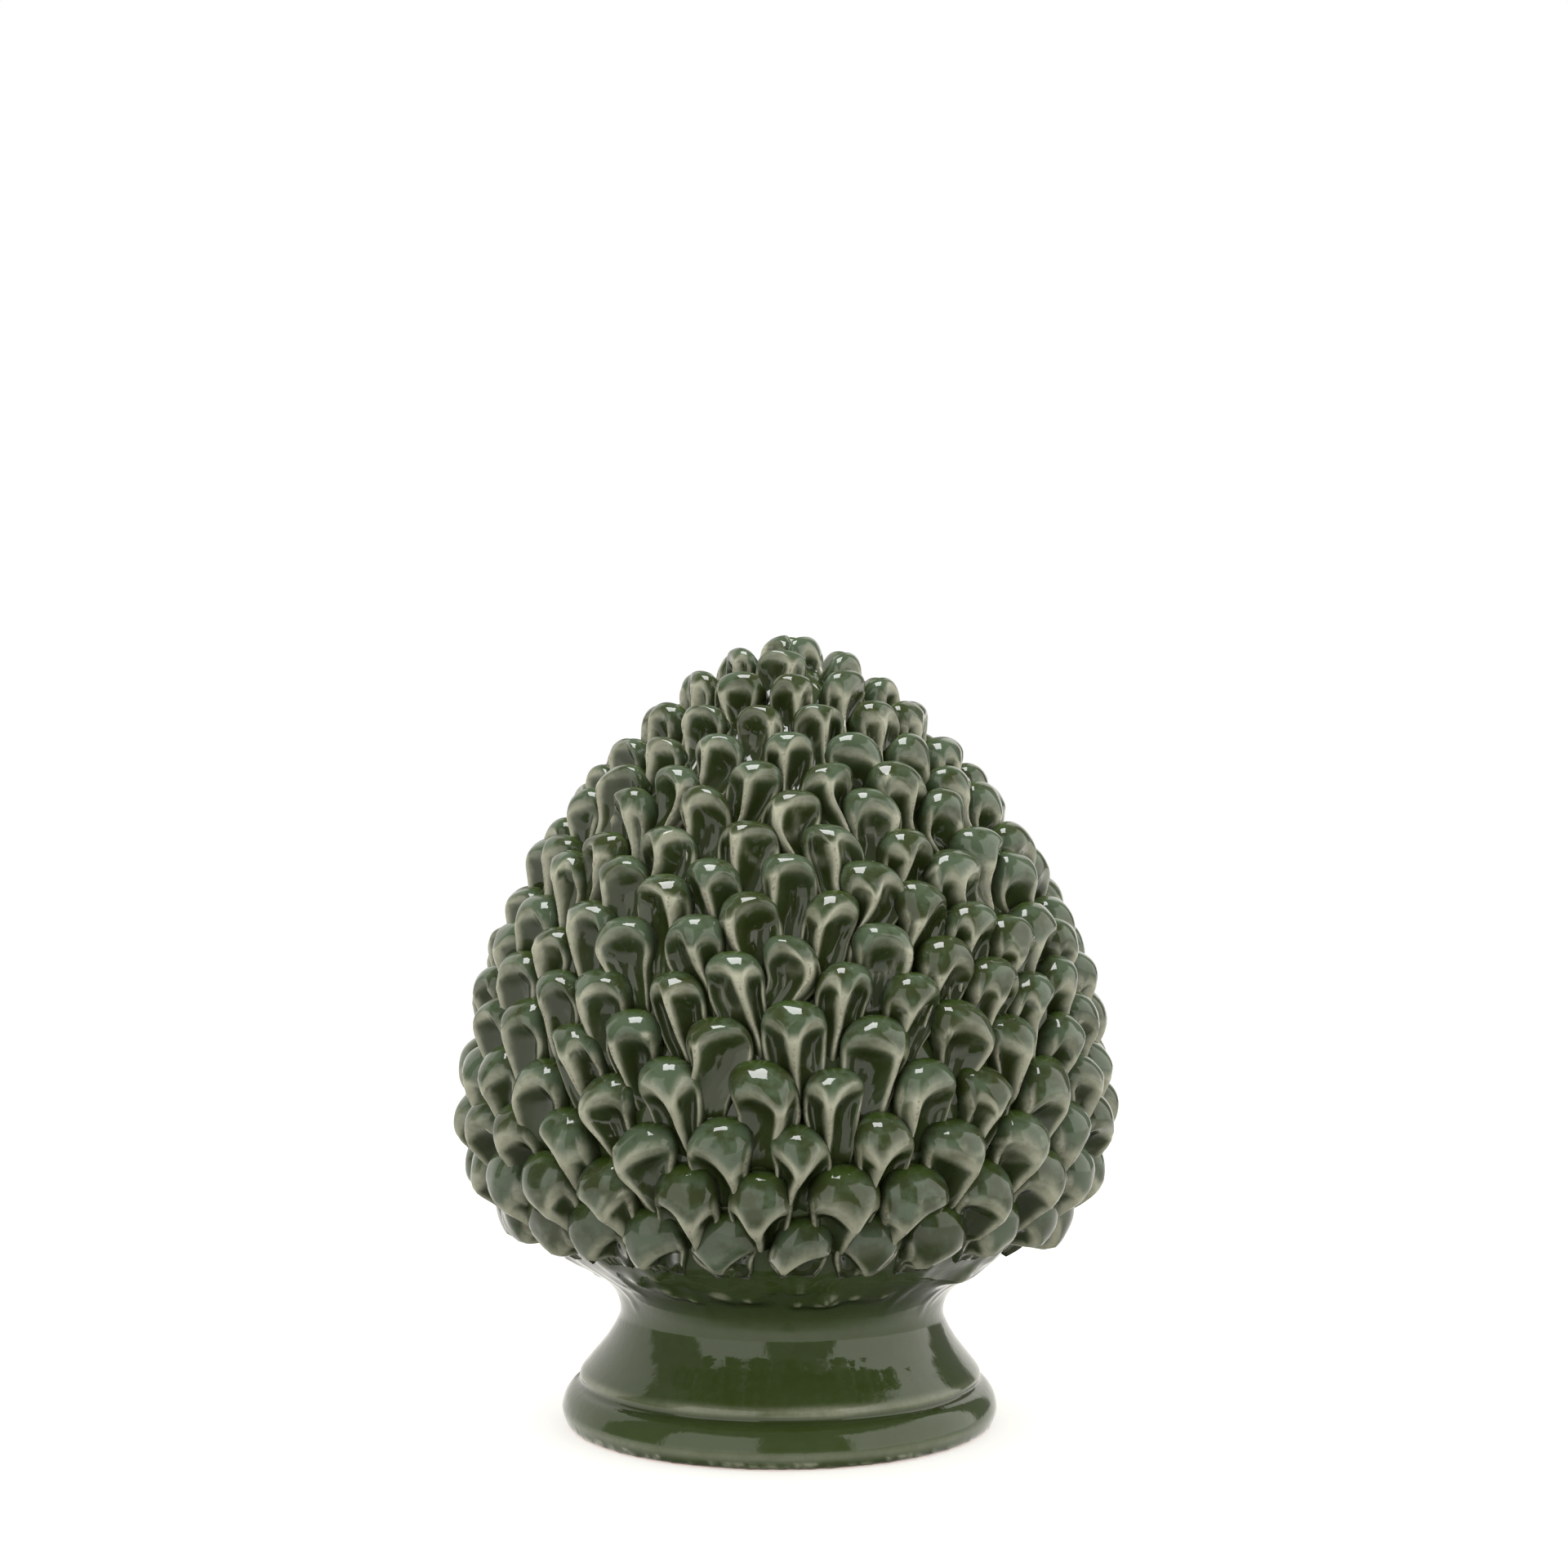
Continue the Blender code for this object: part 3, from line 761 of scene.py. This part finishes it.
def glaze(name, colours, pedestal=False):
    """Glossy green glaze: clouded grey green on heads, olive on their upper edges with painted light
    from above, dark where it pools, with painted shade in the crevices between scales and on the lowest
    ring, and pale where it breaks over ridges, dimmed by painted shade in crevices, with brown specks
    where it is thinnest."""
    material, graph, shader = new_material(name)
    place = graph.node("ShaderNodeTexCoord").outputs["Object"]
    ridge, hollow, crest_and_top_light = graph.mask("ridge"), graph.mask("hollow"), graph.mask("crest_and_top_light")
    tone = graph.mask("tone")
    cloud = graph.noise(place, CLOUD, 3.0, 0.55)
    cloud_fine = graph.noise(place, FINE_CLOUD, 2.0)
    cloud_wide = graph.noise(place, WIDE_CLOUD, 2.0, 0.6)
    shade = graph.signal(
        "ShaderNodeAmbientOcclusion", {"samples": 6, "only_local": False},
        {"Distance": POOLING_AND_SHADE_REACH}, output="AO",
    )
    clouded = (cloud + (tone - 0.5) * 0.22).smooth(0.34, 0.60) * (0.22 + 0.78 * graph.mask("cap"))
    if pedestal:
        clouded = clouded * 0.22 + 0.06
    mottled = graph.colour_mix(clouded, colours.mid, colours.veil)
    # Olive on each head's upper edge: the glaze's own green, painted brighter there as if lit from
    # above.
    olive = graph.colour_mix((crest_and_top_light * 0.9).clamp(), mottled, colours.crest_and_top_light)
    # The hollow mask holds glaze pooled in hollows and dents, and painted shade over the lowest ring's
    # heads.
    deep = hollow * (0.28 + 0.90 * cloud_wide)
    # Painted shade: ambient occlusion pulls crevices between scales toward the dark green, beside the
    # glaze pooled in hollows.
    pooled_and_shade = deep.larger((1.0 - shade.smooth(0.05, 0.52)) * (0.7 if pedestal else 1.0)).clamp()
    dark = graph.colour_mix(pooled_and_shade, olive, colours.pooled_and_shade)
    patchy = 0.75 + 0.45 * cloud if pedestal else 0.45 + 1.05 * cloud
    breaking_and_shade = ridge * (0.80 + 0.30 * cloud_fine) * patchy
    # Painted shade: the pale over ridges is dimmed where other clay stands near.
    breaking_and_shade = (breaking_and_shade.smooth(0.05, 1.05) * (0.30 + 0.70 * shade.smooth(0.1, 0.5))).clamp()
    pale = graph.colour_mix(breaking_and_shade * colours.breaking_and_shade, dark, colours.ridge)
    dots = graph.signal(
        "ShaderNodeTexVoronoi", {"feature": "F1"},
        {"Vector": place, "Scale": 1.0 / DOTS, "Randomness": 1.0}, output="Distance",
    )
    grain = graph.noise(place, GRAIN, 1.0)
    line = graph.mask("line").smooth(0.60, 0.95)
    specks = (1.0 - dots.smooth(0.12, 0.30)) * ridge.smooth(0.45, 0.85) * cloud.smooth(0.40, 0.64)
    specks = (specks * 0.5).larger(grain.smooth(0.48, 0.60) * line * cloud_wide.smooth(0.34, 0.54))
    surface = graph.colour_mix((specks * 0.66).clamp(), pale, colours.specks)
    roughness = 0.045 + 0.05 * cloud_fine * cloud + 0.08 * breaking_and_shade
    if pedestal:
        surface = graph.colour_mix(graph.mask("bare"), surface, colours.clay)
        roughness = roughness + graph.mask("bare") * 0.55
    ripple = graph.noise(place, RIPPLE, 2.0) * 0.7 + cloud_fine * 0.12
    bump = graph.node(
        "ShaderNodeBump", None, {"Strength": 0.35, "Distance": RIPPLE_DEPTH, "Height": ripple},
    )
    graph.tree.links.new(surface, shader.inputs["Base Color"])
    graph.tree.links.new(roughness.socket, shader.inputs["Roughness"])
    graph.tree.links.new(bump.outputs[0], shader.inputs["Normal"])
    shader.inputs["IOR"].default_value = GLAZE_IOR
    return material


def length(name, description, default):
    return FloatProperty(
        name=name, description=description, default=default, unit="LENGTH", subtype="DISTANCE",
    )


def colour(name, description, *default):
    return FloatVectorProperty(
        name=name, description=description, default=(*default, 1.0), subtype="COLOR", size=4,
        min=0.0, max=1.0,
    )


def amount(name, description, default):
    return FloatProperty(name=name, description=description, default=default)


class FinialSizes(bpy.types.PropertyGroup):
    """Sizes of the hand-made forms."""

    keel_fall: length("Keel fall", "How far below a head's middle the keel stays high", 0.0148)
    ridge_softness: length("Ridge softness", "Width of the turn from a head into its hollows", 0.0052)
    egg: amount("Egg", "Higher values slope a head's top like an egg's narrow end", 1.35)
    thumb_dent: length("Thumb dent", "Deepest dent in a head's face", 0.0011)
    nub_height: length("Nub height", "Height of the odd nub of pinched clay", 0.0013)
    unevenness: length("Unevenness", "Height of the waves that fingers leave", 0.0011)
    streak_height: length("Streak height", "Height of the streaks a thumb leaves in a hollow", 0.0002)
    upward_lean: amount("Upward lean", "How far heads lean towards the apex, over their lift", 0.10)
    scale_seed: IntProperty(name="Scale seed", description="Draws the scales' differences", default=11)
    wobble: length("Wobble", "How far the thrown pedestal is out of round", 0.0003)


class FinialColours(bpy.types.PropertyGroup):
    """Colours of the glaze and the clay."""

    mid: colour("Green", "Glaze on a head's face", 0.029, 0.040, 0.011)
    veil: colour("Grey green", "Clouded glaze on a head's face", 0.058, 0.084, 0.049)
    # Olive glaze on a head's upper edge, painted brighter as if lit from above.
    crest_and_top_light: colour("Olive", "Glaze on a head's upper edge", 0.036, 0.064, 0.009)
    # Dark green of glaze pooled in hollows, also used for painted shade in crevices and on the lowest
    # ring's heads.
    pooled_and_shade: colour("Dark green", "Glaze pooled in hollows", 0.019, 0.027, 0.007)
    ridge: colour("Pale grey", "Glaze broken thin over ridges", 0.335, 0.340, 0.258)
    specks: colour("Brown", "Specks of clay through the thin glaze", 0.130, 0.080, 0.058)
    clay: colour("Bare clay", "Unglazed clay under the foot", 0.36, 0.20, 0.14)
    # The pale share this scales has already been dimmed by painted shade in crevices.
    breaking_and_shade: FloatProperty(
        name="Breaking", description="How much of the pale colour shows", default=0.95,
        min=0.0, max=1.0, subtype="FACTOR",
    )


class FinialStudio(bpy.types.PropertyGroup):
    """The studio round the finial."""

    camera_distance: length("Camera distance", "From the camera to the cone's axis", 1.05)
    camera_height: length("Camera height", "Above the table", 0.2456)
    camera_pitch: FloatProperty(
        name="Camera pitch", description="Downwards", default=math.radians(0.2), subtype="ANGLE",
    )
    lens: FloatProperty(
        name="Lens", description="Focal length", default=63.2, subtype="DISTANCE_CAMERA",
    )
    panels: amount("Panels", "Brightness of the standing panels", 1.90)
    behind: amount("Behind", "How much dimmer the rear panels are", 0.4)
    left: amount("Left", "How much dimmer the left panels are", 0.22)
    table: amount("Table", "Brightness that surfaces see below", 1.20)
    dark: amount("Dark", "Brightness between the panels", 1.25)
    gloss_dark: amount("Gloss dark", "How much darker gloss sees it", 0.79)
    overhead: amount("Overhead", "Power of the overhead light", 7.5)
    glint: amount("Glint", "Power that only gloss sees", 10.8)
    floor_glow: amount("Floor glow", "The floor's own light", 0.38)
    warmth: colour("Warmth", "Tint of the studio's light", 1.0, 0.98, 0.92)
    floor: colour("Floor", "The pale floor's colour", 0.86, 0.86, 0.85)


GROUPS = {
    "finial_sizes": FinialSizes, "finial_colours": FinialColours, "finial_studio": FinialStudio,
}


class FINIAL_OT_body(bpy.types.Operator):
    """Makes the thrown cone and pedestal, hollow and open underneath"""

    bl_idname = "finial.add_body"
    bl_label = "Add cone and pedestal"

    def execute(self, context):
        points, values, rows = body_points(Cone(), context.scene.finial_sizes)
        material = glaze("pedestal_glaze", context.scene.finial_colours, pedestal=True)
        add_piece("cone_and_pedestal", points, body_faces(rows), values, material)
        return {"FINISHED"}


def body_outline(cone):
    """The turned outline from the apex, down the outside, under the foot and up the hollow.

    Returns its points and, for each, which part of the piece it belongs to.
    """
    def even(curve, spacing):
        along = distances(curve)
        count = max(2, round(along[-1] / spacing))
        stations = np.linspace(0.0, along[-1], count + 1)
        return np.stack([np.interp(stations, along, curve[:, k]) for k in range(2)], axis=1)

    cone_part = even(cone.curve, 4.0 * MM)
    pedestal = even(smooth_curve(PEDESTAL_PROFILE, 16), 1.0 * MM)
    under = even(np.array([PEDESTAL_PROFILE[-1], HOLLOW_PROFILE[0]]), 3.0 * MM)
    hollow = even(smooth_curve(HOLLOW_PROFILE, 8), 7.0 * MM)
    parts = [cone_part[1:-1], pedestal, under[1:-1], hollow[:-1]]
    kinds = np.concatenate([np.full(len(part), kind) for kind, part in enumerate(parts)])
    return np.concatenate(parts), kinds


def body_points(cone, sizes):
    """Vertices of the cone and pedestal, their values, and the number of turned rows."""
    outline, kinds = body_outline(cone)
    slope = np.gradient(outline, axis=0)
    slope /= np.linalg.norm(slope, axis=1)[:, None]
    out, rise = -slope[:, 1:], slope[:, :1]
    radius, height = outline[:, :1], outline[:, 1:]
    angle = np.arange(BODY_SIDES) * TURN / BODY_SIDES
    pedestal, outside, inside = (kinds == 1)[:, None], (kinds <= 1)[:, None], (kinds >= 2)[:, None]
    hand = np.random.default_rng(sizes.scale_seed)

    def aside(where, radius):
        """How far round the piece, at a radius, each vertex lies from an angle."""
        return ((angle - where + math.pi) % TURN - math.pi) * radius

    lobes = sum(
        size * np.sin(turns * angle + phase)
        for turns, size, phase in ((2, 1.0, 0.7), (3, 0.6, 2.1), (5, 0.25, 4.0))
    )
    thrown = np.sin(height / (0.74 * MM) + 0.9 * np.sin(angle))
    thrown = thrown + 0.6 * np.sin(height / (1.7 * MM) + angle)
    lift = pedestal * smoothstep(0.0, 3 * MM, height) * (sizes.wobble * lobes + 0.016 * MM * thrown)
    ridge = np.zeros_like(lift)
    for _ in range(BLOBS):
        where, level = hand.uniform(0, TURN), hand.uniform(*BLOB_HEIGHTS)
        size, tall = hand.uniform(1.6, 3.6) * MM, hand.uniform(0.3, 1.3) * MM
        blob = bell(aside(where, BLOB_RADIUS), size * hand.uniform(1.0, 2.2))
        blob = blob * bell(height - level, size) * outside
        lift = lift + tall * blob
        ridge = np.maximum(ridge, 0.55 * smoothstep(0.5, 1.0, blob) * (tall > 0.8 * MM))
    for _ in range(DRIPS):
        where, low = hand.uniform(0, TURN), hand.uniform(*DRIP_ENDS)
        drip = bell(aside(where, DRIP_RADIUS), 2.2 * MM)
        lift = lift + 0.35 * MM * drip * smoothstep(low - 3 * MM, low + 2 * MM, height) * outside
    crumbs = np.zeros_like(lift)
    for _ in range(CRUMBS):
        where, level = hand.normal(-0.05, 0.55), hand.uniform(*CRUMB_HEIGHTS)
        crumb = bell(aside(where, CRUMB_RADIUS), hand.uniform(0.9, 2.2) * MM)
        crumbs = np.maximum(crumbs, crumb * bell(height - level, 0.9 * MM) * pedestal)
    lift = lift + 0.35 * MM * crumbs * smoothstep(0.0, 0.8 * MM, height)

    patchy = 0.75 + 0.25 * np.sin(3 * angle + 1.0) * np.sin(7 * angle)
    for broken in (
        0.62 * bell(height - ROLL_HEIGHT, 2.1 * MM) * pedestal * patchy,
        0.35 * bell(height - RIM_HEIGHT, 2.2 * MM) * pedestal,
        0.8 * crumbs,
    ):
        ridge = np.maximum(ridge, broken)
    groove = bell(height - GROOVE_HEIGHT, 1.0 * MM) * pedestal
    neck = 0.25 * bell(height - NECK_HEIGHT, 7 * MM) * pedestal
    bare = np.maximum(inside, pedestal * (1 - smoothstep(0.4 * MM, 1.1 * MM, height)))

    radius = radius + lift * out
    level = height + lift * rise
    points = turned(radius, angle, level)
    points[..., 0] += foot_offset(level)
    top, crown = CONE_PROFILE[0][1], HOLLOW_PROFILE[-1][1]
    poles = [[foot_offset(top), 0.0, top], [0.0, 0.0, crown]]
    flat = np.concatenate([points.reshape(-1, 3), np.array(poles)])

    def full(value, ends=(0.0, 0.0)):
        return np.concatenate([(value + 0 * lift).ravel(), ends])

    values = {
        "ridge": full(ridge), "hollow": full(np.maximum(groove, neck)), "crest_and_top_light": full(0.35),
        "tone": full(0.45), "cap": full(0.5), "line": full(0.0), "bare": full(bare, (0.0, 1.0)),
    }
    return flat, values, len(outline)


def body_faces(rows):
    """Quads and fans of the turned piece, whose rows run downwards, and its corners on the map."""
    quads, fans = tube_faces(rows, BODY_SIDES)
    u = np.arange(BODY_SIDES + 1) / BODY_SIDES
    v = np.concatenate([[1.0], np.linspace(1.0 - BODY_MAP_FAN, BODY_MAP_FAN, rows), [0.0]])
    square, fan = tube_map(u, v)
    square, fan = square[:, [0, 3, 2, 1]], fan[:, [0, 2, 1]]
    corners = np.concatenate([square.reshape(-1, 2), fan.reshape(-1, 2)])
    return quads[:, [0, 3, 2, 1]], fans[:, [0, 2, 1]], corners


class FINIAL_OT_scales(bpy.types.Operator):
    """Makes every scale, ring by ring, in bands of neighbouring rings"""

    bl_idname = "finial.add_scales"
    bl_label = "Add scales"

    def execute(self, context):
        cone = Cone()
        scales = lay_scales(cone)
        scales["sway"] = find_gaps(cone, scales)
        scales["facing"] = np.arcsin(cone.read(scales["along"])[3])
        hand = np.random.default_rng(context.scene.finial_sizes.scale_seed)
        form = ScaleForm(scales, context.scene.finial_sizes, hand)
        points, masks = scale_points(cone, scales, form)
        masks["tone"] = hand.uniform(0, 1, (form.count, 1)) + 0 * masks["ridge"]
        material = glaze("scale_glaze", context.scene.finial_colours)
        rows = STEM_ROWS + HEAD_ROWS
        columns = (points.shape[1] - 2) // rows
        first_ring = 0
        for number, rings in enumerate(RINGS_IN_BANDS, 1):
            chosen = (scales["ring"] >= first_ring) & (scales["ring"] < first_ring + rings)
            first_ring += rings
            faces = scale_faces(int(chosen.sum()), rows, columns)
            values = {name: mask[chosen] for name, mask in masks.items()}
            add_piece(f"scales_band_{number}", points[chosen], faces, values, material)
        return {"FINISHED"}


class FINIAL_OT_stage(bpy.types.Operator):
    """Makes the pale floor, the studio's light and the camera"""

    bl_idname = "finial.add_stage"
    bl_label = "Add stage"

    def execute(self, context):
        studio = context.scene.finial_studio
        add_floor(studio)
        light_world(context.scene, studio)
        add_overhead("overhead_light", studio.overhead, OVERHEAD_HEIGHT, gloss=False)
        add_overhead("overhead_glint", studio.glint, OVERHEAD_HEIGHT - OVERHEAD_GAP, gloss=True)
        add_camera(context.scene, studio)
        context.scene.view_settings.view_transform = "Standard"
        return {"FINISHED"}


def add_floor(studio):
    """A wide round floor at the height that the finial stands on."""
    turns = [TURN * side / FLOOR_SIDES for side in range(FLOOR_SIDES)]
    ring = [
        (FLOOR_RADIUS * math.cos(turn), FLOOR_RADIUS * math.sin(turn), CAD_BOX[0][2]) for turn in turns
    ]
    mesh = bpy.data.meshes.new("floor")
    mesh.from_pydata(ring, [], [tuple(range(FLOOR_SIDES))])
    floor = bpy.data.objects.new("floor", mesh)
    bpy.context.scene.collection.objects.link(floor)
    material, graph, shader = new_material("pale_floor")
    place = graph.node("ShaderNodeTexCoord").outputs["Object"]
    cloud = graph.noise(place, 0.12, 3.0)
    tint = graph.colour_mix(cloud, studio.floor, [0.97 * part for part in studio.floor[:3]] + [1.0])
    away = graph.signal("ShaderNodeVectorMath", {"operation": "LENGTH"}, {0: place}, output="Value")
    far = away.smooth(*FLOOR_FADE)
    glow = (*[studio.floor_glow] * 3, 1.0)
    graph.tree.links.new(graph.colour_mix(far, tint, BLACK), shader.inputs["Base Color"])
    graph.tree.links.new(graph.colour_mix(far, glow, WHITE), shader.inputs["Emission Color"])
    shader.inputs["Emission Strength"].default_value = 1.0
    shader.inputs["Roughness"].default_value = 0.75
    shader.inputs["Specular IOR Level"].default_value = 0.15
    mesh.materials.append(material)
    floor.visible_diffuse = floor.visible_glossy = False


def light_world(scene, studio):
    """White to the camera. Surfaces see four standing panels, two at each side, with dimmer gaps
    between them, darker still in the gloss, and a table below."""
    world = bpy.data.worlds.new("studio")
    scene.world = world
    world.use_nodes = True
    world.node_tree.nodes.clear()
    graph = Graph(world.node_tree)
    toward = graph.node("ShaderNodeTexCoord").outputs["Generated"]
    split = graph.node("ShaderNodeSeparateXYZ", None, {"Vector": toward})
    x, y, z = (Signal(graph, split.outputs[axis]) for axis in range(3))
    turn, height = x.math("ARCTAN2", x, y * -1.0), z.math("ARCSINE", z)

    def rises(angle, start, end):
        return angle.smooth(math.radians(start), math.radians(end))

    def between(start, end):
        opens = rises(turn, start - PANEL_EDGE, start + PANEL_EDGE)
        return opens * (1.0 - rises(turn, end - PANEL_EDGE, end + PANEL_EDGE))

    left, right = (
        between(*front) + between(*rear) * (1.0 - studio.behind)
        for front, rear in (LEFT_PANELS, RIGHT_PANELS)
    )
    panel = left * (1.0 - studio.left) + right
    panel = panel * rises(height, *PANEL_FOOT) * (1.0 - rises(height, *PANEL_TOP))
    path = graph.node("ShaderNodeLightPath")
    camera_ray, gloss_ray = (
        Signal(graph, path.outputs[name]) for name in ("Is Camera Ray", "Is Glossy Ray")
    )
    dark = studio.dark * (1.0 - gloss_ray * studio.gloss_dark)
    level = dark + panel * (studio.panels - dark)
    below = 1.0 - rises(height, *TABLE_EDGE)
    table = studio.table * (0.25 + 0.75 * rises(height, *TABLE_DARKER))
    level = level + below * (table - level)
    strength = level + camera_ray * (1.0 - level)
    tint = graph.colour_mix(camera_ray, studio.warmth, WHITE)
    background = graph.node("ShaderNodeBackground", None, {"Color": tint, "Strength": strength})
    graph.node("ShaderNodeOutputWorld", None, {"Surface": background.outputs[0]})


def add_overhead(name, power, height, gloss):
    """A soft box straight above. One lights, and its twin is seen in the gloss alone."""
    light = bpy.data.lights.new(name, "AREA")
    light.shape = "RECTANGLE"
    light.size, light.size_y = GLINT_SIZE if gloss else OVERHEAD_SIZE
    light.energy = power
    lamp = bpy.data.objects.new(name, light)
    lamp.location = (*OVERHEAD_PLACE, CAD_BOX[1][2] + height)
    lamp.visible_camera = False
    lamp.visible_diffuse = not gloss
    lamp.visible_glossy = gloss
    bpy.context.scene.collection.objects.link(lamp)


def add_camera(scene, studio):
    """The camera in front, level with the cone's upper half."""
    lens = bpy.data.cameras.new("camera")
    lens.lens = studio.lens
    camera = bpy.data.objects.new("camera", lens)
    camera.location = (CAMERA_ASIDE, -studio.camera_distance, studio.camera_height)
    camera.rotation_euler = (0.5 * math.pi - studio.camera_pitch, 0.0, 0.0)
    scene.collection.objects.link(camera)
    scene.camera = camera


class FINIAL_PT_panel(bpy.types.Panel):
    """Lists the finial's sizes, colours and pieces"""

    bl_label = "Pinecone finial"
    bl_space_type = "VIEW_3D"
    bl_region_type = "UI"
    bl_category = "Finial"

    def draw(self, context):
        for group, kind in GROUPS.items():
            box = self.layout.box()
            for name in kind.__annotations__:
                box.prop(getattr(context.scene, group), name)
        for operator in (FINIAL_OT_stage, FINIAL_OT_body, FINIAL_OT_scales):
            self.layout.operator(operator.bl_idname)


CLASSES = (*GROUPS.values(), FINIAL_OT_body, FINIAL_OT_scales, FINIAL_OT_stage, FINIAL_PT_panel)


def register():
    for kind in CLASSES:
        bpy.utils.register_class(kind)
    for name, group in GROUPS.items():
        setattr(bpy.types.Scene, name, PointerProperty(type=group))


def unregister():
    for name in GROUPS:
        delattr(bpy.types.Scene, name)
    for kind in reversed(CLASSES):
        bpy.utils.unregister_class(kind)


def main():
    register()
    bpy.ops.finial.add_stage()
    bpy.ops.finial.add_body()
    bpy.ops.finial.add_scales()
    bpy.context.view_layer.update()


if __name__ == "__main__":
    main()
